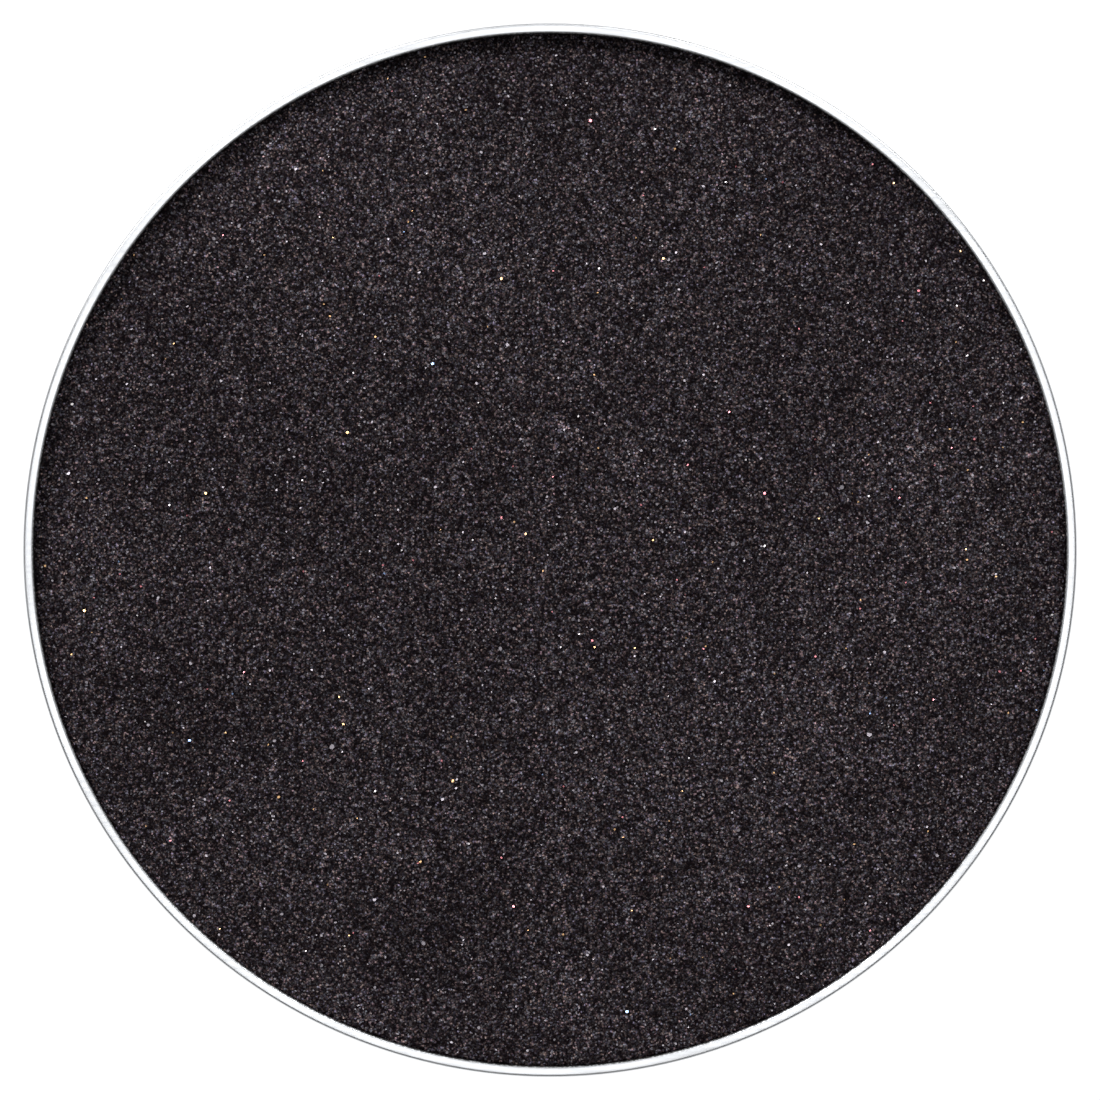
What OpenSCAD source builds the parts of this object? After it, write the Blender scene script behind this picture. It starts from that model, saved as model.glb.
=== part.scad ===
// Round pressed-powder refill pan.
// A shallow drawn aluminium pan holds a cake of pressed shimmer powder. A flexible magnet is
// glued into a recess in the pan's base, and a paper label covers the magnet.
// The model is in millimetres. +Z points out of the powder's face. The origin is the centre of
// the foot ring, on the plane that the pan rests on.

/* [Pan] */
// Outside diameter of the wall
pan_d = 26; // [20:0.5:60]
// Overall height, from the foot ring to the top of the rim
pan_h = 3.5; // [2.9:0.1:8]
// Thickness of the drawn aluminium sheet
sheet_t = 0.25; // [0.15:0.05:0.3]
// Outside radius of the bend between the wall and the foot ring
wall_bend_r = 0.7; // [0.5:0.05:1]
// Radius that blunts the two edges of the trimmed rim
rim_edge_r = 0.07; // [0.03:0.01:0.07]

/* [Base] */
// Width of the flat ring that the pan rests on
foot_w = 1.4; // [1:0.1:2]
// Outside radius of the bends between the foot ring and the base
base_bend_r = 0.35; // [0.35:0.05:0.45]
// Inside radius of the pressed rib that keys the powder to the base
rib_r = 0.3; // [0.2:0.05:0.4]
// Diameter of the ring that the rib runs round
rib_ring_d = 11; // [6:0.5:11]

/* [Powder] */
// Depth of the powder's face below the top of the rim
headroom = 0.35; // [0.2:0.05:0.6]
// Width and height of the bevel that the punch leaves round the powder's face
face_bevel = 0.05; // [0.03:0.01:0.2]

/* [Magnet] */
// Thickness of the flexible magnet
magnet_t = 0.4; // [0.3:0.05:0.6]
// Gap between the magnet's edge and the side of the recess
magnet_gap = 0.45; // [0.2:0.05:2]
// Thickness of the adhesive film that holds the magnet
adhesive_t = 0.08; // [0.05:0.01:0.15]
// How far the adhesive film stops short of the magnet's edge
adhesive_inset = 0.3; // [0.1:0.1:1]

/* [Label] */
// Thickness of the paper label
label_t = 0.1; // [0.08:0.01:0.15]
// How far the label stops short of the magnet's edge
label_inset = 0.9; // [0.2:0.1:3]
// Gap between the label and the surface that the pan stands on
label_gap = 0.15; // [0.05:0.05:0.5]

/* [Hidden] */
$fn = 180;

outer_r = pan_d / 2;
inner_r = outer_r - sheet_t;
foot_out_r = outer_r - wall_bend_r;        // outer edge of the flat foot ring
foot_in_r = foot_out_r - foot_w;           // inner edge of the flat foot ring
recess_r = foot_in_r - base_bend_r;        // side of the recess under the base

// The stack in the recess, from the standing surface upwards.
label_z = label_gap;                       // underside of the label
magnet_z = label_z + label_t;              // underside of the magnet
adhesive_z = magnet_z + magnet_t;          // underside of the adhesive film
base_z = adhesive_z + adhesive_t;          // underside of the base

magnet_r = recess_r - magnet_gap;
adhesive_r = magnet_r - adhesive_inset;
label_r = magnet_r - label_inset;
rib_mid_r = rib_ring_d / 2;
cake_top = pan_h - headroom;
rim_z = pan_h - rim_edge_r;                // where the rim's edges start to round

// A rectangle in the half plane that is turned round the axis, from (r0, z0) to (r1, z1).
module band(r0, r1, z0, z1) {
    translate([r0, z0]) square([r1 - r0, z1 - z0]);
}

// A circle in the same half plane, with its middle at (mid_r, mid_z).
module disc(mid_r, mid_z, radius) {
    translate([mid_r, mid_z]) circle(r = radius);
}

// What the pan fills from the axis outwards, up to the given height. An inset of 0 gives its
// outside, and an inset of the sheet's thickness gives its inside.
module body_outline(inset, top) {
    band(0, foot_out_r, inset, top);
    band(0, outer_r - inset, wall_bend_r, top);
    disc(foot_out_r, wall_bend_r, wall_bend_r - inset);
}

// The space under the base, with the groove of the rib. Grown by the sheet's thickness, it is
// the step that stands up inside the pan. It has a bend at its top, and one at the foot ring.
module base_recess(grow, floor_z) {
    top_z = base_z + grow;
    top_bend_r = base_bend_r - sheet_t + grow;
    side_r = recess_r + grow;
    union() {
        band(0, side_r - top_bend_r, floor_z, top_z);
        band(0, side_r, floor_z, top_z - top_bend_r);
        disc(side_r - top_bend_r, top_z - top_bend_r, top_bend_r);
        disc(rib_mid_r, base_z, rib_r + grow);
        difference() {
            band(0, foot_in_r, floor_z, base_bend_r);
            disc(foot_in_r, base_bend_r, base_bend_r - grow);
        }
    }
}

// The room that the powder is pressed into, up to the given height.
module powder_room(top) {
    difference() {
        body_outline(sheet_t, top);
        base_recess(sheet_t, 0);
    }
}

module pan() {
    color("#c9cbce")
    rotate_extrude()
    difference() {
        union() {
            body_outline(0, rim_z);
            band(inner_r + rim_edge_r, outer_r - rim_edge_r, wall_bend_r, pan_h);
            disc(outer_r - rim_edge_r, rim_z, rim_edge_r);
            disc(inner_r + rim_edge_r, rim_z, rim_edge_r);
        }
        powder_room(rim_z);
        base_recess(0, -sheet_t);
    }
}

module powder_cake() {
    color("#2a272b")
    rotate_extrude()
    difference() {
        powder_room(cake_top);
        polygon([
            [inner_r - face_bevel, cake_top],
            [inner_r + face_bevel, cake_top],
            [inner_r + face_bevel, cake_top - 2 * face_bevel],
        ]);
    }
}

module magnet_adhesive() {
    color("#e6e2d6")
    translate([0, 0, adhesive_z]) cylinder(r = adhesive_r, h = adhesive_t);
}

module magnet() {
    color("#2f2e30")
    translate([0, 0, magnet_z]) cylinder(r = magnet_r, h = magnet_t);
}

module base_label() {
    color("#f2f0ea")
    translate([0, 0, label_z]) cylinder(r = label_r, h = label_t);
}

pan();
powder_cake();
magnet_adhesive();
magnet();
base_label();
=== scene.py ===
"""A refill pan of pressed shimmer powder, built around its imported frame.

Each piece is made by its own operator, at its real size and in its real place. The pan's foot
ring stands on the floor at z = 0, and +Z points out of the powder's face.
"""

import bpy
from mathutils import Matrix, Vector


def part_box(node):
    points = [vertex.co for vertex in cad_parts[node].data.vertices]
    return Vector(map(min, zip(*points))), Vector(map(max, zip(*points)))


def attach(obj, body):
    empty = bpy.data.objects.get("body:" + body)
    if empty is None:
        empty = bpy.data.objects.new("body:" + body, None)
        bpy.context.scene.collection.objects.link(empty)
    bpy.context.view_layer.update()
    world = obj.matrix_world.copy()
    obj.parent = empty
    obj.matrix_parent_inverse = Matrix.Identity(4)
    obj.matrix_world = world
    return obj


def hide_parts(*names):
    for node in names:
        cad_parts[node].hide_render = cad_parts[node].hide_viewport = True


bl_info = {
    "name": "Pressed Powder Pan",
    "version": (1, 0, 0),
    "blender": (4, 5, 0),
    "location": "3D View > Sidebar > Powder Pan",
    "description": "Builds a refill pan of pressed shimmer powder, piece by piece",
    "category": "Add Mesh",
}

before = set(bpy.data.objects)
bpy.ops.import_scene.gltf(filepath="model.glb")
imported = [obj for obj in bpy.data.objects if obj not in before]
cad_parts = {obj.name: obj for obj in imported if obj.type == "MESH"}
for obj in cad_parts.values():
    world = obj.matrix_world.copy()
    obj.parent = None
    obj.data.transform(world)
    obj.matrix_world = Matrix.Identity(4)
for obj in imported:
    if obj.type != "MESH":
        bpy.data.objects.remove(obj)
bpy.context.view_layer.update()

import math
import random

import bmesh
import bpy
from bpy.props import FloatProperty, FloatVectorProperty, IntProperty, PointerProperty
from mathutils import Euler, Matrix, Vector, noise

MM = 0.001
FULL_TURN = 2 * math.pi

# Faces round each bend of the pan's sheet.
BEND_STEPS = 8

# Distances that keep surfaces from lying in each other.
FIT_GAP = 0.002 * MM
FLOOR_GAP = 0.005 * MM

PAN_LOW, PAN_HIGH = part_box("pan")
CAKE_LOW, CAKE_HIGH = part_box("powder_cake")
MAGNET_LOW, MAGNET_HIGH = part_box("magnet")
FILM_LOW, FILM_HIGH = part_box("magnet_adhesive")
LABEL_LOW, LABEL_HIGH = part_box("base_label")

WALL_RADIUS = PAN_HIGH.x
CAKE_RADIUS = CAKE_HIGH.x
SHEET = WALL_RADIUS - CAKE_RADIUS
FACE_Z = CAKE_HIGH.z

# Where the key light stands: its compass direction, from +X towards +Y, and its elevation.
KEY_COMPASS = math.radians(124)
KEY_ELEVATION = math.radians(34)

# How far each light stands from the powder, in metres.
LIGHT_DISTANCE = 0.5

# Where the powder's face is paler or darker than the rest, as x and y in millimetres, the
# spot's radius in millimetres, and how much lighter it is.
TONE_SPOTS = (
    (-6.3, 9.0, 4.4, 0.26),
    (-3.6, 6.6, 3.2, 0.18),
    (1.5, 8.8, 4.2, 0.10),
    (3.8, 10.7, 1.5, 0.20),
    (9.2, -1.4, 2.8, 0.22),
    (6.0, -4.4, 4.4, 0.18),
    (-8.6, -3.8, 3.0, -0.24),
    (-6.6, -5.4, 1.8, -0.14),
    (-6.5, 2.2, 4.5, -0.10),
    (4.6, -10.9, 2.6, -0.22),
    (-2.4, -9.6, 2.4, -0.20),
    (-4.6, -6.5, 1.2, 0.34),
    (-0.1, -10.7, 0.9, 0.36),
    (-6.0, -10.8, 1.4, 0.26),
    (-11.5, -1.6, 1.2, 0.22),
    (9.0, 2.6, 0.8, 0.26),
    (9.8, -8.0, 2.0, -0.12),
    (0.3, 3.1, 0.28, 2.4),
)

# The few large glitter flakes that catch the eye, as x and y in millimetres.
LARGE_GLITTER = {
    "gold": (
        (-1.2, 6.7), (2.8, 7.2), (-11.5, -1.5), (1.6, -6.9), (-3.2, -7.7), (-5.1, -4.3),
        (-0.6, 0.4), (1.1, -2.4), (-3.5, 8.1), (-5.0, 2.9), (-8.5, 1.4), (-2.4, -5.7), (-6.7, -6.1),
    ),
    "rose": (
        (-1.2, 0.8), (3.4, 2.1), (9.1, 6.4), (11.1, -3.0), (-10.1, -0.9), (-0.9, -8.8),
        (4.9, -8.8), (7.9, -9.4), (1.0, 10.6), (5.3, 1.4), (-1.2, -7.6),
    ),
    "blue": ((1.9, -11.4), (-2.9, 4.6), (-8.9, -4.7)),
    "silver": (
        (5.3, 0.1), (0.7, 3.3), (-11.8, 3.6), (12.4, -1.6), (10.3, 4.8),
    ),
}


# --- Small helpers -----------------------------------------------------------------------


def linear(colour):
    """Turns an sRGB hex colour into linear red, green, blue and alpha."""
    channels = [int(colour[i : i + 2], 16) / 255 for i in (1, 3, 5)]
    return tuple(c / 12.92 if c <= 0.04045 else ((c + 0.055) / 1.055) ** 2.4 for c in channels) + (1.0,)


def add_node(tree, kind, inputs=None, **settings):
    """Adds a node to a tree, applies its settings, and sets or links its inputs."""
    node = tree.nodes.new(kind)
    for name, value in settings.items():
        setattr(node, name, value)
    for socket, value in (inputs or {}).items():
        if isinstance(value, bpy.types.NodeSocket):
            tree.links.new(value, node.inputs[socket])
        else:
            node.inputs[socket].default_value = value
    return node


def new_material(name):
    """Makes an empty material and returns it with its node tree and its shader."""
    material = bpy.data.materials.new(name)
    material.use_nodes = True
    tree = material.node_tree
    tree.nodes.clear()
    shader = add_node(tree, "ShaderNodeBsdfPrincipled")
    add_node(tree, "ShaderNodeOutputMaterial", {"Surface": shader.outputs["BSDF"]})
    return material, tree, shader


def place_in_mm(tree, stretch=(1, 1, 1)):
    """Gives the object's own coordinates in millimetres, squeezed or stretched along each axis."""
    coordinates = add_node(tree, "ShaderNodeTexCoord")
    scale = [factor / MM for factor in stretch]
    mapping = add_node(
        tree, "ShaderNodeMapping", {"Vector": coordinates.outputs["Object"], "Scale": scale}
    )
    return mapping.outputs["Vector"]


def calculate(tree, operation, *values):
    """Adds a maths node and returns its result."""
    return add_node(
        tree, "ShaderNodeMath", dict(enumerate(values)), operation=operation
    ).outputs["Value"]


def ramp(tree, value, low, high, to_low=0.0, to_high=1.0, smooth=False):
    """Moves a value from one range to another and holds it at the ends."""
    return add_node(
        tree,
        "ShaderNodeMapRange",
        {
            "Value": value,
            "From Min": low,
            "From Max": high,
            "To Min": to_low,
            "To Max": to_high,
        },
        interpolation_type="SMOOTHSTEP" if smooth else "LINEAR",
    ).outputs["Result"]


def mix_colours(tree, share, first, second, blend="MIX"):
    """Mixes two colours."""
    return add_node(
        tree,
        "ShaderNodeMix",
        {"Factor": share, "A": first, "B": second},
        data_type="RGBA",
        blend_type=blend,
    ).outputs["Result"]


def finish_piece(bm, name, material, replaced=None, smooth=True):
    """Turns a bmesh into a piece of the object, smooth or faceted, and ties it to the frame."""
    mesh = bpy.data.meshes.new(name)
    bm.to_mesh(mesh)
    bm.free()
    if smooth:
        mesh.shade_smooth()
    mesh.materials.append(material)
    piece = bpy.data.objects.new(name, mesh)
    bpy.context.scene.collection.objects.link(piece)
    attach(piece, "root")
    if replaced:
        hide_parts(replaced)
    return piece


# --- Settings ----------------------------------------------------------------------------


class PanSettings(bpy.types.PropertyGroup):
    """Sizes and colour of the drawn pan."""

    sides: IntProperty(name="Sides", description="Faces round the wall", default=256, min=64)
    wall_bend: FloatProperty(
        name="Wall Bend",
        description="Outside radius of the bend between the wall and the foot ring",
        default=0.7 * MM,
        unit="LENGTH",
    )
    base_bend: FloatProperty(
        name="Base Bend",
        description="Outside radius of the bends between the foot ring and the base",
        default=0.35 * MM,
        unit="LENGTH",
    )
    foot_width: FloatProperty(
        name="Foot Width",
        description="Width of the flat ring that the pan rests on",
        default=1.4 * MM,
        unit="LENGTH",
    )
    rib_radius: FloatProperty(
        name="Rib Radius",
        description="Inside radius of the rib pressed into the base",
        default=0.3 * MM,
        unit="LENGTH",
    )
    rib_ring: FloatProperty(
        name="Rib Ring",
        description="Diameter of the ring that the rib runs round",
        default=11 * MM,
        unit="LENGTH",
    )
    rim_edge: FloatProperty(
        name="Rim Edge",
        description="Radius that blunts the two edges of the trimmed rim",
        default=0.07 * MM,
        unit="LENGTH",
    )
    metal: FloatVectorProperty(
        name="Metal",
        description="Colour of the aluminium",
        default=linear("#CDCFD2"),
        size=4,
        subtype="COLOR",
    )


class PowderSettings(bpy.types.PropertyGroup):
    """Sizes and colours of the pressed powder."""

    cells: IntProperty(name="Cells", description="Cells across the face's mesh", default=270, min=32)
    bevel: FloatProperty(
        name="Bevel",
        description="Width and depth of the bevel that the punch leaves round the face",
        default=0.02 * MM,
        unit="LENGTH",
    )
    grain: FloatProperty(
        name="Grain",
        description="Distance between the middle-sized grains of pearl",
        default=0.062 * MM,
        unit="LENGTH",
    )
    black: FloatVectorProperty(
        name="Black",
        description="Colour of the powder between the grains of pearl",
        default=linear("#070305"),
        size=4,
        subtype="COLOR",
    )
    # The pearl colour sets the mica's own paler colour and also the strength of the painted glint of the
    # grains.
    pearl: FloatVectorProperty(
        name="Pearl",
        description="Colour of the grains of pearl",
        default=linear("#393939"),
        size=4,
        subtype="COLOR",
    )


class PearlSettings(bpy.types.PropertyGroup):
    """Numbers and sizes of the loose flakes and crumbs on the powder's face."""

    flakes: IntProperty(name="Flakes", description="Number of silver pearl flakes", default=3200, min=0)
    flake_size: FloatProperty(
        name="Flake Size",
        description="Usual distance across a pearl flake",
        default=0.055 * MM,
        unit="LENGTH",
    )
    glitter_size: FloatProperty(
        name="Glitter Size",
        description="Usual distance across a large glitter flake",
        default=0.075 * MM,
        unit="LENGTH",
    )
    thickness: FloatProperty(
        name="Thickness",
        description="Thickness of a flake",
        default=0.008 * MM,
        unit="LENGTH",
    )
    crumbs: IntProperty(name="Crumbs", description="Number of loose crumbs", default=90, min=0)


class BaseSettings(bpy.types.PropertyGroup):
    """Colours of the magnet, its adhesive and the label."""

    ferrite: FloatVectorProperty(
        name="Magnet",
        description="Colour of the flexible magnet",
        default=linear("#2F2D2E"),
        size=4,
        subtype="COLOR",
    )
    adhesive: FloatVectorProperty(
        name="Adhesive",
        description="Colour of the adhesive film",
        default=linear("#DDD9CC"),
        size=4,
        subtype="COLOR",
    )
    paper: FloatVectorProperty(
        name="Paper",
        description="Colour of the label's paper",
        default=linear("#EFEDE6"),
        size=4,
        subtype="COLOR",
    )
    ink: FloatVectorProperty(
        name="Ink",
        description="Colour of the label's print",
        default=linear("#3A373B"),
        size=4,
        subtype="COLOR",
    )


class StageSettings(bpy.types.PropertyGroup):
    """Sizes and brightness of the studio."""

    view_width: FloatProperty(
        name="View Width",
        description="Width that the camera sees at the powder's face",
        default=27.16 * MM,
        unit="LENGTH",
    )
    lens: FloatProperty(
        name="Lens", description="Focal length in millimetres", default=550, min=50
    )
    key_power: FloatProperty(
        name="Key Power", description="Power of the large light on the left", default=2.5, unit="POWER"
    )
    top_power: FloatProperty(
        name="Top Power", description="Power of the smaller light above", default=1.2, unit="POWER"
    )
    overhead_power: FloatProperty(
        name="Overhead Power", description="Power of the light overhead", default=0.57, unit="POWER"
    )
    world: FloatProperty(
        name="World", description="Brightness of the light from all round", default=0.22, min=0
    )
    floor_glow: FloatProperty(
        name="Floor Glow", description="Light that the pale floor gives by itself", default=0.98, min=0
    )


class PowderPanSettings(bpy.types.PropertyGroup):
    """All the settings of the powder pan."""

    pan: PointerProperty(type=PanSettings)
    powder: PointerProperty(type=PowderSettings)
    pearl: PointerProperty(type=PearlSettings)
    base: PointerProperty(type=BaseSettings)
    stage: PointerProperty(type=StageSettings)


# --- Materials ---------------------------------------------------------------------------


def drawn_aluminium(settings):
    """Bright aluminium sheet, drawn into a cup.

    The draw leaves fine upright lines on the wall, and the base keeps the sheet's rolling lines.
    """
    material, tree, shader = new_material("drawn aluminium")
    wall_lines = add_node(
        tree,
        "ShaderNodeTexNoise",
        {"Vector": place_in_mm(tree, (16, 16, 0.2)), "Scale": 1.0, "Detail": 2.0},
    ).outputs["Fac"]
    rolling_lines = add_node(
        tree,
        "ShaderNodeTexNoise",
        {"Vector": place_in_mm(tree, (0.4, 14, 14)), "Scale": 1.0, "Detail": 3.0},
    ).outputs["Fac"]
    normal = add_node(
        tree, "ShaderNodeSeparateXYZ", {"Vector": add_node(tree, "ShaderNodeNewGeometry").outputs["Normal"]}
    ).outputs["Z"]
    flatness = ramp(tree, calculate(tree, "ABSOLUTE", normal), 0.75, 0.95)
    lines = add_node(
        tree, "ShaderNodeMix", {"Factor": flatness, "A": wall_lines, "B": rolling_lines}
    ).outputs["Result"]
    # Handling leaves soft smudges a few millimetres across.
    smudges = add_node(
        tree, "ShaderNodeTexNoise", {"Vector": place_in_mm(tree), "Scale": 0.45, "Detail": 2.0}
    ).outputs["Fac"]
    rough = calculate(
        tree, "ADD", ramp(tree, lines, 0.3, 0.7, 0.24, 0.36), ramp(tree, smudges, 0.4, 0.7, 0.0, 0.08)
    )
    # Inside the wall, above the powder, a film of powder clings to the metal.
    place = add_node(tree, "ShaderNodeSeparateXYZ", {"Vector": place_in_mm(tree)})
    across = add_node(
        tree,
        "ShaderNodeVectorMath",
        {0: place_in_mm(tree, (1, 1, 0))},
        operation="LENGTH",
    ).outputs["Value"]
    inside = ramp(tree, across, CAKE_RADIUS / MM + 0.01, CAKE_RADIUS / MM + 0.05, 1.0, 0.0)
    speckle = add_node(
        tree, "ShaderNodeTexNoise", {"Vector": place_in_mm(tree), "Scale": 14.0, "Detail": 2.0}
    ).outputs["Fac"]
    face = FACE_Z / MM
    height = ramp(tree, place.outputs["Z"], face - 0.1, face + 0.42, 0.95, 0.5)
    above = ramp(tree, place.outputs["Z"], face - 0.3, face - 0.25)
    film = ramp(tree, calculate(tree, "ADD", speckle, height), 0.72, 1.1)
    dust = calculate(tree, "MULTIPLY", calculate(tree, "MULTIPLY", inside, above), film)
    tree.links.new(
        mix_colours(tree, dust, tuple(settings.pan.metal), tuple(settings.powder.black)),
        shader.inputs["Base Color"],
    )
    tree.links.new(ramp(tree, dust, 0.0, 0.8, 1.0, 0.0), shader.inputs["Metallic"])
    dusty_rough = ramp(tree, dust, 0.0, 1.0, 0.0, 0.9)
    tree.links.new(calculate(tree, "MAXIMUM", rough, dusty_rough), shader.inputs["Roughness"])
    bump = add_node(
        tree, "ShaderNodeBump", {"Height": lines, "Strength": 0.12, "Distance": 0.004 * MM}
    )
    tree.links.new(bump.outputs["Normal"], shader.inputs["Normal"])
    return material


def grains(tree, place, spacing, contrast):
    """Splits a surface into grains and returns how bright each is, its own chance and its dome.

    Spacing is in millimetres. The brightness is a logarithm between plus and minus half the
    contrast, so that the grains of several layers multiply.
    """
    cells = add_node(
        tree,
        "ShaderNodeTexVoronoi",
        {"Vector": place, "Scale": 1 / spacing, "Randomness": 1.0},
        voronoi_dimensions="2D",
    )
    chance = add_node(tree, "ShaderNodeSeparateColor", {"Color": cells.outputs["Color"]})
    dome = ramp(tree, cells.outputs["Distance"], 0.1, 0.75, 1.0, 0.0, smooth=True)
    brightness = ramp(tree, chance.outputs["Red"], 0.0, 1.0, -contrast / 2, contrast / 2)
    return brightness, chance.outputs["Green"], dome


def pressed_powder(settings):
    """Matte black cosmetic powder, pressed from pigment, talc and grains of coated mica.

    It takes no highlight of its own. Grains of three sizes each have their own brightness, which
    multiply, so a few are bright and most are nearly black. That brightness is painted into the
    colour: it is partly the mica's own paler colour and partly painted glint, the sparkle a grain
    gives as it catches the light. Each has a faint tint of plum, rose, bronze or steel, so the face
    looks like fine dark sandpaper with a frosty shimmer of painted glints.
    """
    material, tree, shader = new_material("pressed shimmer powder")
    plain = place_in_mm(tree)
    ragged = add_node(
        tree, "ShaderNodeTexNoise", {"Vector": plain, "Scale": 13.0, "Detail": 1.0}
    ).outputs["Color"]
    shift = add_node(
        tree,
        "ShaderNodeVectorMath",
        {0: ragged, 1: (0.04, 0.04, 0.04), 2: plain},
        operation="MULTIPLY_ADD",
    ).outputs["Vector"]
    grain = settings.powder.grain / MM
    coarse, _, coarse_dome = grains(tree, shift, grain * 1.9, 0.5)
    middle, middle_tint, middle_dome = grains(tree, shift, grain, 2.65)
    fine, fine_tint, fine_dome = grains(tree, shift, grain * 0.65, 3.1)
    clumps = add_node(
        tree, "ShaderNodeTexNoise", {"Vector": plain, "Scale": 1.1, "Detail": 4.0, "Roughness": 0.62}
    ).outputs["Fac"]
    broad = add_node(
        tree, "ShaderNodeTexNoise", {"Vector": plain, "Scale": 0.22, "Detail": 1.0}
    ).outputs["Fac"]
    tone = calculate(
        tree, "MULTIPLY", ramp(tree, clumps, 0.3, 0.7, 0.80, 1.20), ramp(tree, broad, 0.3, 0.7, 0.88, 1.12)
    )
    spots = 1.0
    for x, y, radius, gain in TONE_SPOTS:
        place = (x, y, FACE_Z / MM)
        distance = add_node(
            tree, "ShaderNodeVectorMath", {0: shift, 1: place}, operation="DISTANCE"
        ).outputs["Value"]
        spots = calculate(tree, "ADD", ramp(tree, distance, 0.0, radius, gain, 0.0, smooth=True), spots)
    tone = calculate(tree, "MULTIPLY", tone, spots)
    # The grains' brightness is partly the mica's paler colour and partly painted glint of grains catching
    # the light.
    brightness = calculate(tree, "ADD", calculate(tree, "ADD", coarse, middle), fine)
    light = calculate(tree, "MULTIPLY", calculate(tree, "EXPONENT", brightness), tone)
    gaps = ramp(tree, calculate(tree, "ADD", middle_dome, fine_dome), 0.0, 2.0, 0.1, 2.0)
    light = calculate(tree, "MULTIPLY", light, gaps)
    tint = calculate(tree, "FRACT", calculate(tree, "ADD", middle_tint, fine_tint))
    colours = add_node(tree, "ShaderNodeValToRGB", {"Fac": tint})
    shades = colours.color_ramp
    shades.elements[0].color = linear("#998DAA")
    shades.elements[1].color = linear("#A98B98")
    for place, shade in ((0.25, "#8E919C"), (0.5, "#999196"), (0.75, "#A79088")):
        shades.elements.new(place).color = linear(shade)
    tinted = mix_colours(tree, 1.0, colours.outputs["Color"], tuple(settings.powder.pearl), "MULTIPLY")
    pearl = mix_colours(tree, 1.0, tinted, light, "MULTIPLY")
    tree.links.new(
        mix_colours(tree, 1.0, tuple(settings.powder.black), pearl, "ADD"), shader.inputs["Base Color"]
    )
    shader.inputs["Roughness"].default_value = 0.72
    shader.inputs["Specular IOR Level"].default_value = 0.02
    shader.inputs["Diffuse Roughness"].default_value = 0.8
    height = calculate(tree, "ADD", middle_dome, calculate(tree, "MULTIPLY", coarse_dome, 0.8))
    bump = add_node(
        tree, "ShaderNodeBump", {"Height": height, "Strength": 0.5, "Distance": 0.010 * MM}
    )
    tree.links.new(bump.outputs["Normal"], shader.inputs["Normal"])
    return material


def coated_mica(name, colour, spread, roughness):
    """Mica flakes with a thin metal-oxide coat, which gives each a metallic glint of one colour."""
    material, tree, shader = new_material(name)
    chance = add_node(tree, "ShaderNodeNewGeometry").outputs["Random Per Island"]
    dim = [channel * (1 - spread) for channel in linear(colour)[:3]] + [1.0]
    bright = [min(1.0, channel * (1 + spread)) for channel in linear(colour)[:3]] + [1.0]
    tree.links.new(mix_colours(tree, chance, dim, bright), shader.inputs["Base Color"])
    shader.inputs["Metallic"].default_value = 0.85
    shader.inputs["Roughness"].default_value = roughness
    return material


def powder_crumb(settings):
    """Crumbs knocked off the powder, paler than its face because they are loose and catch light."""
    material, tree, shader = new_material("loose powder crumb")
    speckle = add_node(
        tree, "ShaderNodeTexNoise", {"Vector": place_in_mm(tree), "Scale": 30.0, "Detail": 2.0}
    ).outputs["Fac"]
    tree.links.new(
        mix_colours(
            tree, ramp(tree, speckle, 0.35, 0.75), tuple(settings.powder.black), linear("#6A6468")
        ),
        shader.inputs["Base Color"],
    )
    shader.inputs["Roughness"].default_value = 0.85
    shader.inputs["Specular IOR Level"].default_value = 0.2
    return material


def ferrite_rubber(settings):
    """Flexible magnet sheet: ferrite powder in rubber, rolled flat, dull and faintly speckled."""
    material, tree, shader = new_material("ferrite rubber")
    rolled = add_node(
        tree,
        "ShaderNodeTexNoise",
        {"Vector": place_in_mm(tree, (0.8, 9, 9)), "Scale": 1.0, "Detail": 3.0},
    ).outputs["Fac"]
    speckle = add_node(
        tree, "ShaderNodeTexNoise", {"Vector": place_in_mm(tree), "Scale": 16.0, "Detail": 3.0}
    ).outputs["Fac"]
    paler = [min(1.0, channel * 1.9) for channel in settings.base.ferrite[:3]] + [1.0]
    tree.links.new(
        mix_colours(tree, ramp(tree, speckle, 0.45, 0.75), tuple(settings.base.ferrite), paler),
        shader.inputs["Base Color"],
    )
    tree.links.new(ramp(tree, rolled, 0.3, 0.7, 0.5, 0.72), shader.inputs["Roughness"])
    bump = add_node(
        tree, "ShaderNodeBump", {"Height": rolled, "Strength": 0.4, "Distance": 0.006 * MM}
    )
    tree.links.new(bump.outputs["Normal"], shader.inputs["Normal"])
    return material


def adhesive_film(settings):
    """Transfer adhesive: a thin cloudy film of acrylic gum, slightly glossy, with small bubbles."""
    material, tree, shader = new_material("acrylic adhesive film")
    bubbles = add_node(
        tree, "ShaderNodeTexVoronoi", {"Vector": place_in_mm(tree), "Scale": 2.2}
    ).outputs["Distance"]
    cloudy = [channel * 0.8 for channel in settings.base.adhesive[:3]] + [1.0]
    tree.links.new(
        mix_colours(tree, ramp(tree, bubbles, 0.0, 0.25), cloudy, tuple(settings.base.adhesive)),
        shader.inputs["Base Color"],
    )
    tree.links.new(ramp(tree, bubbles, 0.05, 0.3, 0.55, 0.28), shader.inputs["Roughness"])
    return material


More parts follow.
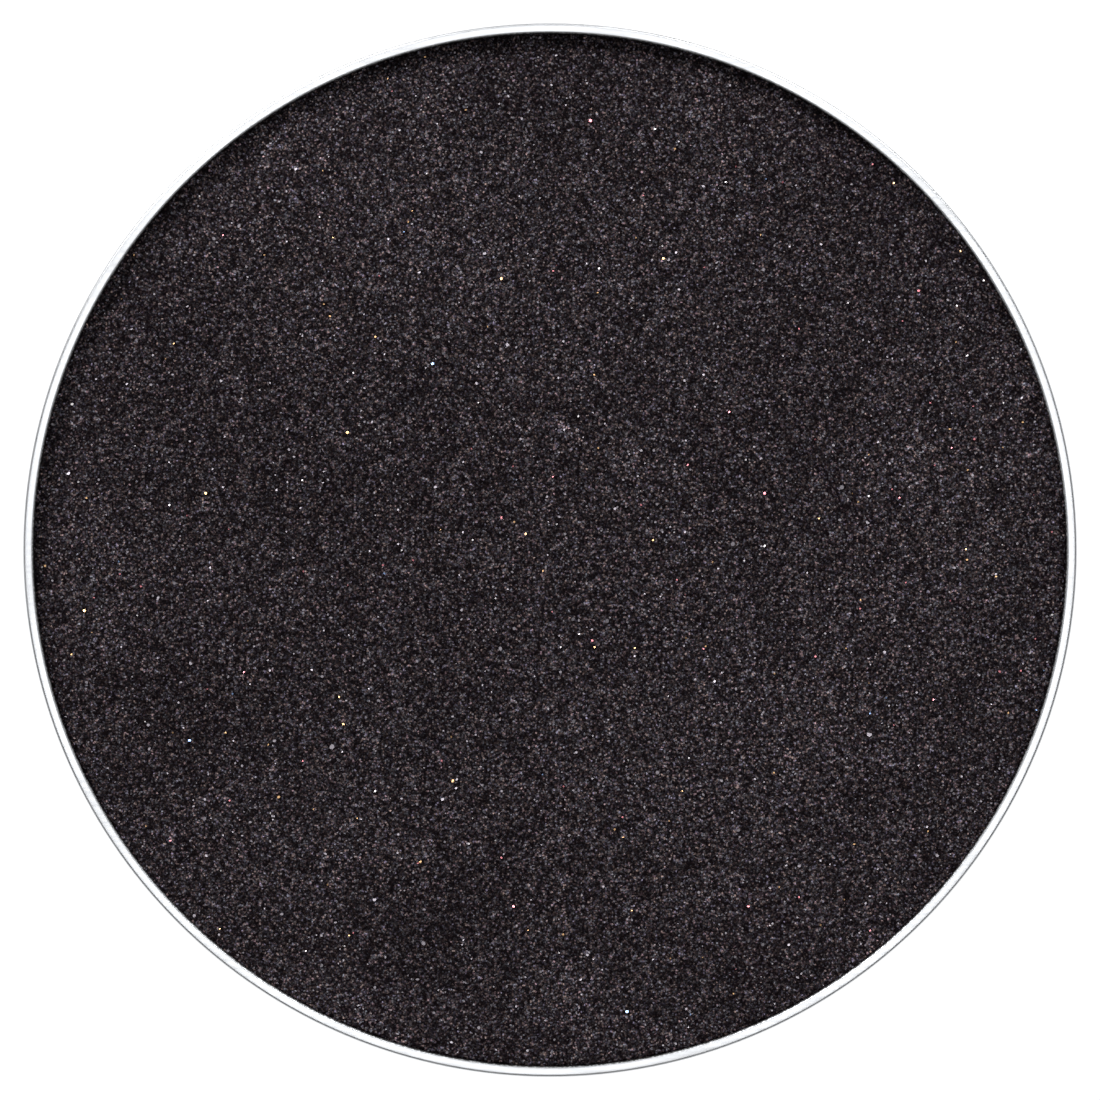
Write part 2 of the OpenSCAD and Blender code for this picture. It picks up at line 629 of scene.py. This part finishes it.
def label_paper(settings):
    """Uncoated label paper, with a plain printed ring, a round swatch of the shade and two bars."""
    material, tree, shader = new_material("printed label paper")
    place = place_in_mm(tree)
    fibres = add_node(
        tree,
        "ShaderNodeTexNoise",
        {"Vector": place_in_mm(tree, (5, 1.6, 5)), "Scale": 2.0, "Detail": 4.0, "Distortion": 1.5},
    ).outputs["Fac"]
    dim = [channel * 0.88 for channel in settings.base.paper[:3]] + [1.0]
    paper = mix_colours(tree, ramp(tree, fibres, 0.35, 0.65), dim, tuple(settings.base.paper))
    flat = add_node(
        tree, "ShaderNodeVectorMath", {0: place, 1: (1, 1, 0)}, operation="MULTIPLY"
    ).outputs["Vector"]
    edge = LABEL_HIGH.x / MM
    across = add_node(tree, "ShaderNodeVectorMath", {0: flat}, operation="LENGTH").outputs["Value"]
    ring = calculate(tree, "COMPARE", across, edge - 0.9, 0.09)
    from_swatch = add_node(
        tree, "ShaderNodeVectorMath", {0: flat, 1: (0, 2.4, 0)}, operation="DISTANCE"
    ).outputs["Value"]
    swatch = calculate(tree, "LESS_THAN", from_swatch, 2.6)
    x_y = add_node(tree, "ShaderNodeSeparateXYZ", {"Vector": flat})
    bars = 0.0
    for middle, half_width, half_height in ((-2.4, 3.6, 0.28), (-3.7, 2.4, 0.28)):
        inside = calculate(
            tree,
            "MULTIPLY",
            calculate(tree, "COMPARE", x_y.outputs["X"], 0.0, half_width),
            calculate(tree, "COMPARE", x_y.outputs["Y"], middle, half_height),
        )
        bars = calculate(tree, "MAXIMUM", inside, bars)
    print_share = calculate(tree, "MAXIMUM", calculate(tree, "MAXIMUM", ring, swatch), bars)
    # The ink lies thinner where the paper's fibres are proud.
    ink_share = calculate(tree, "MULTIPLY", print_share, ramp(tree, fibres, 0.3, 0.75, 1.0, 0.92))
    tree.links.new(
        mix_colours(tree, ink_share, paper, tuple(settings.base.ink)), shader.inputs["Base Color"]
    )
    shader.inputs["Roughness"].default_value = 0.88
    shader.inputs["Specular IOR Level"].default_value = 0.25
    bump = add_node(
        tree, "ShaderNodeBump", {"Height": fibres, "Strength": 0.3, "Distance": 0.01 * MM}
    )
    tree.links.new(bump.outputs["Normal"], shader.inputs["Normal"])
    return material


def studio_floor(settings):
    """A sheet of pale matte board that also glows a little, as a light table does."""
    material, tree, shader = new_material("pale studio board")
    fleck = add_node(
        tree, "ShaderNodeTexNoise", {"Vector": place_in_mm(tree), "Scale": 0.02, "Detail": 1.0}
    ).outputs["Fac"]
    tree.links.new(
        mix_colours(tree, fleck, linear("#585857"), linear("#5C5C5C")), shader.inputs["Base Color"]
    )
    shader.inputs["Roughness"].default_value = 0.95
    shader.inputs["Specular IOR Level"].default_value = 0.1
    shader.inputs["Emission Color"].default_value = linear("#FFFFFF")
    shader.inputs["Emission Strength"].default_value = settings.stage.floor_glow
    return material


# --- The pan -----------------------------------------------------------------------------


def round_corner(bm, corner, radius, steps):
    """Turns the square corner of a wire into an arc."""
    bmesh.ops.bevel(
        bm,
        geom=[corner],
        offset=radius,
        offset_type="OFFSET",
        affect="VERTICES",
        segments=steps,
        profile=0.5,
        material=-1,
    )


def pan_profile(bm, pan):
    """Draws the outside of the sheet from the middle of the base to the rim, and rounds its bends."""
    base_z = FILM_HIGH.z
    foot_in = WALL_RADIUS - pan.wall_bend - pan.foot_width
    recess = foot_in - pan.base_bend
    rib_in = pan.rib_ring / 2 - pan.rib_radius
    rib_out = pan.rib_ring / 2 + pan.rib_radius
    rib_top = base_z + pan.rib_radius
    inner_bend = pan.base_bend - SHEET
    # Each point is a radius, a height and the radius of the bend there.
    path = (
        (0, base_z, 0),
        (rib_in, base_z, 0),
        (rib_in, rib_top, pan.rib_radius * 0.999),
        (rib_out, rib_top, pan.rib_radius * 0.999),
        (rib_out, base_z, 0),
        (recess, base_z, inner_bend),
        (recess, 0, pan.base_bend),
        (WALL_RADIUS, 0, pan.wall_bend),
        (WALL_RADIUS, PAN_HIGH.z, 0),
    )
    corners = [bm.verts.new((radius, 0, height)) for radius, height, _ in path]
    for first, second in zip(corners, corners[1:]):
        bm.edges.new((first, second))
    for corner, (_, _, bend) in zip(corners, path):
        if bend:
            round_corner(bm, corner, bend, BEND_STEPS)


class POWDERPAN_OT_pan(bpy.types.Operator):
    """Add the drawn aluminium pan"""

    bl_idname = "powder_pan.add_pan"
    bl_label = "Pan"

    def execute(self, context):
        settings = context.scene.powder_pan
        bm = bmesh.new()
        pan_profile(bm, settings.pan)
        bmesh.ops.spin(
            bm,
            geom=bm.verts[:] + bm.edges[:],
            axis=(0, 0, 1),
            cent=(0, 0, 0),
            angle=FULL_TURN,
            steps=settings.pan.sides,
            use_merge=True,
        )
        bmesh.ops.remove_doubles(bm, verts=bm.verts[:], dist=0.0005 * MM)
        bmesh.ops.recalc_face_normals(bm, faces=bm.faces[:])
        wall = max(bm.faces, key=lambda face: face.calc_center_median().xy.length)
        if wall.normal.xy.dot(wall.calc_center_median().xy) < 0:
            bmesh.ops.reverse_faces(bm, faces=bm.faces[:])
        piece = finish_piece(bm, "drawn_pan", drawn_aluminium(settings), "pan")
        sheet = piece.modifiers.new("Sheet", "SOLIDIFY")
        sheet.thickness = SHEET
        sheet.offset = -1
        sheet.use_even_offset = True
        rim = piece.modifiers.new("Blunted Rim", "BEVEL")
        rim.limit_method = "ANGLE"
        rim.angle_limit = math.radians(60)
        rim.width = settings.pan.rim_edge
        rim.segments = 4
        piece.modifiers.new("Flat Faces", "WEIGHTED_NORMAL")
        return {"FINISHED"}


# --- The powder --------------------------------------------------------------------------


def face_height(x, y, bevel):
    """Height of the powder's face: flat from the punch, a little uneven, and bevelled at its edge."""
    place = Vector((x, y, 0)) / MM
    broad = noise.noise(place * 0.35) * 0.010
    press = noise.noise(place * 1.3 + Vector((7, 3, 1))) * 0.007
    grainy = noise.noise(place * 3.4 + Vector((2, 9, 4))) * 0.007
    crumbly = noise.noise(place * 1.1 + Vector((5, 1, 8))) * 0.25 + 1.0
    depth = bevel * crumbly - (CAKE_RADIUS - math.hypot(x, y))
    return FACE_Z + (broad + press + grainy) * MM - max(0.0, depth)


def disc_from_grid(bm, radius):
    """Bends a square grid into a disc, so that its cells stay small and even everywhere."""
    for vert in bm.verts:
        u, v = vert.co.x / radius, vert.co.y / radius
        vert.co.x = radius * u * math.sqrt(1 - v * v / 2)
        vert.co.y = radius * v * math.sqrt(1 - u * u / 2)


def next_ring(bm, edges, radius, height):
    """Extrudes a ring of edges and brings the new ring to a radius and a height."""
    made = bmesh.ops.extrude_edge_only(bm, edges=edges)["geom"]
    ring = [item for item in made if isinstance(item, bmesh.types.BMVert)]
    for vert in ring:
        across = vert.co.xy.normalized() * radius
        vert.co = (across.x, across.y, height)
    new_edges = [item for item in made if isinstance(item, bmesh.types.BMEdge)]
    inside = set(ring)
    return [edge for edge in new_edges if set(edge.verts) <= inside], ring


def cake_body(bm, edges, pan):
    """Closes the cake below its face, along the inside of the pan, and returns each ring's place."""
    wall_bend = pan.wall_bend - SHEET
    foot_in = WALL_RADIUS - pan.wall_bend - pan.foot_width
    step = foot_in - pan.base_bend + SHEET
    step_top = FILM_HIGH.z + SHEET
    gap = FIT_GAP
    rings = [
        (CAKE_RADIUS - gap, pan.wall_bend),
        (CAKE_RADIUS - wall_bend * 0.3, pan.wall_bend - wall_bend * 0.72),
        (CAKE_RADIUS - wall_bend, SHEET + gap),
        (step + gap, SHEET + gap),
        (step + gap, step_top - pan.base_bend),
        (step - pan.base_bend * 0.3, step_top - pan.base_bend * 0.28),
        (step - pan.base_bend, step_top + gap),
        (pan.rib_ring / 2 + pan.rib_radius + SHEET, step_top + gap),
        (pan.rib_ring / 2, step_top + pan.rib_radius + gap),
        (pan.rib_ring / 2 - pan.rib_radius - SHEET, step_top + gap),
        (2 * MM, step_top + gap),
    ]
    levels = {}
    for level, (radius, height) in enumerate(rings, 1):
        edges, ring = next_ring(bm, edges, radius, height)
        levels.update(dict.fromkeys(ring, level))
    _, ring = next_ring(bm, edges, 1 * MM, step_top + gap)
    bmesh.ops.pointmerge(bm, verts=ring, merge_co=(0, 0, step_top + gap))
    return levels, len(rings) + 1


def map_cake(bm, face_count, levels, last_level):
    """Lays the face out flat in the middle of the map, and the hidden underside round it."""
    layer = bm.loops.layers.uv.new("OFBake")
    face_share, under_in, under_out = 0.44, 0.452, 0.497
    bm.faces.ensure_lookup_table()
    for index, face in enumerate(bm.faces):
        middle = face.calc_center_median()
        for loop in face.loops:
            if index < face_count:
                place = loop.vert.co.xy / CAKE_RADIUS * face_share
            else:
                at_pole = loop.vert.co.xy.length < MM * 0.01
                level = last_level if at_pole else levels.get(loop.vert, 0)
                across = (middle if at_pole else loop.vert.co).xy.normalized()
                place = across * (under_in + (under_out - under_in) * level / last_level)
            loop[layer].uv = place + Vector((0.5, 0.5))


class POWDERPAN_OT_powder(bpy.types.Operator):
    """Add the pressed cake of powder"""

    bl_idname = "powder_pan.add_powder"
    bl_label = "Powder"

    def execute(self, context):
        settings = context.scene.powder_pan
        radius = CAKE_RADIUS - FIT_GAP
        cells = settings.powder.cells
        bm = bmesh.new()
        bmesh.ops.create_grid(bm, x_segments=cells, y_segments=cells, size=radius)
        disc_from_grid(bm, radius)
        for vert in bm.verts:
            vert.co.z = face_height(vert.co.x, vert.co.y, settings.powder.bevel)
        face_count = len(bm.faces)
        edge = [edge for edge in bm.edges if edge.is_boundary]
        levels, last_level = cake_body(bm, edge, settings.pan)
        map_cake(bm, face_count, levels, last_level)
        bmesh.ops.recalc_face_normals(bm, faces=bm.faces[:])
        finish_piece(bm, "powder", pressed_powder(settings), "powder_cake")
        return {"FINISHED"}


# --- Flakes and crumbs -------------------------------------------------------------------


def add_flake(bm, chance, x, y, size, settings, tilt, lean=0.0):
    """Adds one six-sided flake that lies on the powder, a little tipped.

    A flake that leans is tipped that far towards the key light as well, so it catches it.
    """
    pearl = settings.pearl
    lift = pearl.thickness + size / 2 * math.sin(lean) * 0.7
    height = face_height(x, y, settings.powder.bevel) + lift
    turn = Euler((chance.gauss(0, tilt), chance.gauss(0, tilt), chance.uniform(0, FULL_TURN)))
    side = Vector((-math.sin(KEY_COMPASS), math.cos(KEY_COMPASS), 0))
    turn = Matrix.Rotation(lean, 4, side) @ turn.to_matrix().to_4x4()
    stretch = Matrix.Diagonal((1.0, chance.uniform(0.6, 1.0), 1.0, 1.0))
    bmesh.ops.create_cone(
        bm,
        cap_ends=True,
        segments=6,
        radius1=size / 2,
        radius2=size / 2,
        depth=pearl.thickness,
        matrix=Matrix.Translation((x, y, height)) @ turn @ stretch,
    )


def random_place(chance, reach):
    """Picks a point on the face, as likely in one place as in another."""
    distance, angle = reach * math.sqrt(chance.random()), chance.uniform(0, FULL_TURN)
    return distance * math.cos(angle), distance * math.sin(angle)


class POWDERPAN_OT_pearl(bpy.types.Operator):
    """Add the fine silver pearl flakes on the powder's face"""

    bl_idname = "powder_pan.add_pearl"
    bl_label = "Pearl Flakes"

    def execute(self, context):
        settings = context.scene.powder_pan
        pearl = settings.pearl
        chance = random.Random(11)
        bm = bmesh.new()
        # An operator takes longer in a full bmesh, so the flakes are made in small batches.
        batch_size = 100
        for _ in range(pearl.flakes // batch_size):
            batch = bmesh.new()
            for _ in range(batch_size):
                x, y = random_place(chance, CAKE_RADIUS - pearl.flake_size)
                size = pearl.flake_size * chance.lognormvariate(0, 0.28)
                add_flake(batch, chance, x, y, size, settings, math.radians(24))
            mesh = bpy.data.meshes.new("batch")
            batch.to_mesh(mesh)
            batch.free()
            bm.from_mesh(mesh)
            bpy.data.meshes.remove(mesh)
        material = coated_mica("silver pearl mica", "#7F7A80", 0.55, 0.5)
        finish_piece(bm, "pearl_flakes", material, smooth=False)
        return {"FINISHED"}


class POWDERPAN_OT_glitter(bpy.types.Operator):
    """Add the glitter flakes, a few of them large, each colour as its own piece"""

    bl_idname = "powder_pan.add_glitter"
    bl_label = "Glitter Flakes"

    def execute(self, context):
        settings = context.scene.powder_pan
        pearl = settings.pearl
        finishes = {
            "gold": ("#C8A074", 80),
            "rose": ("#BC747C", 60),
            "blue": ("#7C94BC", 12),
            "silver": ("#A09C9E", 100),
        }
        lean = (math.pi / 2 - KEY_ELEVATION) / 2
        for seed, (name, (colour, extra)) in enumerate(finishes.items()):
            chance = random.Random(seed)
            bm = bmesh.new()
            for x, y in LARGE_GLITTER[name]:
                size = pearl.glitter_size * chance.uniform(0.8, 1.15)
                add_flake(bm, chance, x * MM, y * MM, size, settings, math.radians(6), lean)
            for _ in range(extra):
                x, y = random_place(chance, CAKE_RADIUS - pearl.glitter_size)
                size = pearl.flake_size * chance.uniform(0.7, 1.1)
                add_flake(bm, chance, x, y, size, settings, math.radians(14), lean * 0.6)
            material = coated_mica(f"{name} glitter mica", colour, 0.25, 0.4)
            finish_piece(bm, f"{name}_glitter", material, smooth=False)
        return {"FINISHED"}


class POWDERPAN_OT_crumbs(bpy.types.Operator):
    """Add the loose crumbs of powder that lie on the face"""

    bl_idname = "powder_pan.add_crumbs"
    bl_label = "Crumbs"

    def execute(self, context):
        settings = context.scene.powder_pan
        chance = random.Random(5)
        bm = bmesh.new()
        for _ in range(settings.pearl.crumbs):
            x, y = random_place(chance, CAKE_RADIUS - 0.2 * MM)
            radius = chance.lognormvariate(math.log(0.035), 0.35) * MM
            height = face_height(x, y, settings.powder.bevel) + radius * 0.4
            turn = Euler([chance.uniform(0, FULL_TURN) for _ in range(3)]).to_matrix().to_4x4()
            squash = Matrix.Diagonal((1.0, chance.uniform(0.6, 1.0), chance.uniform(0.5, 0.9), 1.0))
            made = bmesh.ops.create_icosphere(
                bm,
                subdivisions=2,
                radius=radius,
                matrix=Matrix.Translation((x, y, height)) @ turn @ squash,
            )
            middle = Vector((x, y, height))
            for vert in made["verts"]:
                vert.co = middle + (vert.co - middle) * chance.uniform(0.78, 1.12)
        finish_piece(bm, "powder_crumbs", powder_crumb(settings))
        return {"FINISHED"}


# --- The base ----------------------------------------------------------------------------


def punched_disc(bm, low, high, rounding, sides=192):
    """Makes a disc punched out of sheet, whose edges are rounded as a punch leaves them."""
    bmesh.ops.create_cone(
        bm,
        cap_ends=True,
        segments=sides,
        radius1=high.x,
        radius2=high.x,
        depth=high.z - low.z,
        matrix=Matrix.Translation((0, 0, (low.z + high.z) / 2)),
    )
    rims = [edge for edge in bm.edges if abs(edge.verts[0].co.z - edge.verts[1].co.z) < MM * 1e-4]
    bmesh.ops.bevel(
        bm,
        geom=rims,
        offset=rounding,
        offset_type="OFFSET",
        affect="EDGES",
        segments=3,
        profile=0.5,
        material=-1,
    )


class POWDERPAN_OT_base(bpy.types.Operator):
    """Add the magnet, its adhesive and the label under the base"""

    bl_idname = "powder_pan.add_base"
    bl_label = "Magnet and Label"

    def execute(self, context):
        settings = context.scene.powder_pan
        bm = bmesh.new()
        punched_disc(bm, MAGNET_LOW, MAGNET_HIGH, 0.05 * MM)
        magnet = finish_piece(
            bm, "magnet_disc", ferrite_rubber(settings), "magnet"
        )
        bm = bmesh.new()
        punched_disc(bm, FILM_LOW, FILM_HIGH, 0.015 * MM)
        # The gum has crept a little unevenly at the film's edge.
        for vert in bm.verts:
            creep = noise.noise(vert.co.normalized() * 9.0) * 0.04 - 0.04
            vert.co.xy += vert.co.xy.normalized() * creep * MM
        film = finish_piece(
            bm, "adhesive_disc", adhesive_film(settings), "magnet_adhesive"
        )
        bm = bmesh.new()
        punched_disc(bm, LABEL_LOW, LABEL_HIGH, 0.02 * MM)
        label = finish_piece(bm, "label_disc", label_paper(settings), "base_label")
        for piece in (magnet, film, label):
            piece.modifiers.new("Flat Faces", "WEIGHTED_NORMAL")
        return {"FINISHED"}


# --- The stage ---------------------------------------------------------------------------


def area_light(name, compass, elevation, size, power):
    """Adds a square softbox that faces the powder. Its compass direction turns from +X to +Y."""
    level = math.cos(elevation)
    away = Vector((math.cos(compass) * level, math.sin(compass) * level, math.sin(elevation)))
    data = bpy.data.lights.new(name, "AREA")
    data.shape = "SQUARE"
    data.size = size
    data.energy = power
    light = bpy.data.objects.new(name, data)
    light.location = away * LIGHT_DISTANCE
    light.rotation_euler = away.to_track_quat("Z", "Y").to_euler()
    light.visible_camera = False
    bpy.context.scene.collection.objects.link(light)
    return light


class POWDERPAN_OT_stage(bpy.types.Operator):
    """Add the floor, the lights and the camera"""

    bl_idname = "powder_pan.add_stage"
    bl_label = "Stage"

    def execute(self, context):
        scene = context.scene
        settings = scene.powder_pan
        stage = settings.stage
        bm = bmesh.new()
        bmesh.ops.create_grid(bm, x_segments=4, y_segments=4, size=3.0)
        mesh = bpy.data.meshes.new("floor")
        bm.to_mesh(mesh)
        bm.free()
        mesh.materials.append(studio_floor(settings))
        floor = bpy.data.objects.new("floor", mesh)
        floor.location.z = PAN_LOW.z - FLOOR_GAP
        scene.collection.objects.link(floor)

        top_compass, top_elevation = math.radians(62), math.radians(38)
        overhead = math.radians(90)
        area_light("key softbox", KEY_COMPASS, KEY_ELEVATION, 0.12, stage.key_power)
        area_light("top softbox", top_compass, top_elevation, 0.2, stage.top_power)
        area_light("overhead softbox", KEY_COMPASS, overhead, 0.3, stage.overhead_power)
        world = bpy.data.worlds.new("studio")
        world.use_nodes = True
        background = world.node_tree.nodes["Background"]
        background.inputs["Color"].default_value = linear("#FFFFFF")
        background.inputs["Strength"].default_value = stage.world
        scene.world = world

        data = bpy.data.cameras.new("camera")
        data.lens = stage.lens
        data.clip_start = 0.01
        data.clip_end = 10
        camera = bpy.data.objects.new("camera", data)
        reach = stage.view_width / 2 / (data.sensor_width / 2 / data.lens)
        camera.location = (0, 0, FACE_Z + reach)
        scene.collection.objects.link(camera)
        scene.camera = camera
        scene.view_settings.view_transform = "Standard"
        return {"FINISHED"}


# --- The add-on --------------------------------------------------------------------------


class POWDERPAN_PT_panel(bpy.types.Panel):
    """Lists the pieces of the powder pan"""

    bl_idname = "POWDERPAN_PT_panel"
    bl_label = "Powder Pan"
    bl_space_type = "VIEW_3D"
    bl_region_type = "UI"
    bl_category = "Powder Pan"

    def draw(self, context):
        for piece in PIECES:
            self.layout.operator(piece.bl_idname)
        for name in ("pan", "powder", "pearl", "base", "stage"):
            box = self.layout.box()
            box.label(text=name.capitalize())
            group = getattr(context.scene.powder_pan, name)
            for setting in group.bl_rna.properties.keys()[2:]:
                box.prop(group, setting)


PIECES = (
    POWDERPAN_OT_pan,
    POWDERPAN_OT_powder,
    POWDERPAN_OT_pearl,
    POWDERPAN_OT_glitter,
    POWDERPAN_OT_crumbs,
    POWDERPAN_OT_base,
    POWDERPAN_OT_stage,
)
GROUPS = (
    PanSettings,
    PowderSettings,
    PearlSettings,
    BaseSettings,
    StageSettings,
    PowderPanSettings,
)


def register():
    """Registers the settings, the operators and the panel."""
    for item in (*GROUPS, *PIECES, POWDERPAN_PT_panel):
        bpy.utils.register_class(item)
    bpy.types.Scene.powder_pan = PointerProperty(type=PowderPanSettings)


def unregister():
    """Takes the settings, the operators and the panel away again."""
    del bpy.types.Scene.powder_pan
    for item in reversed((*GROUPS, *PIECES, POWDERPAN_PT_panel)):
        bpy.utils.unregister_class(item)


def main():
    """Builds the whole pan and its stage."""
    register()
    bpy.ops.powder_pan.add_pan()
    bpy.ops.powder_pan.add_powder()
    bpy.ops.powder_pan.add_pearl()
    bpy.ops.powder_pan.add_glitter()
    bpy.ops.powder_pan.add_crumbs()
    bpy.ops.powder_pan.add_base()
    bpy.ops.powder_pan.add_stage()


if __name__ == "__main__":
    main()
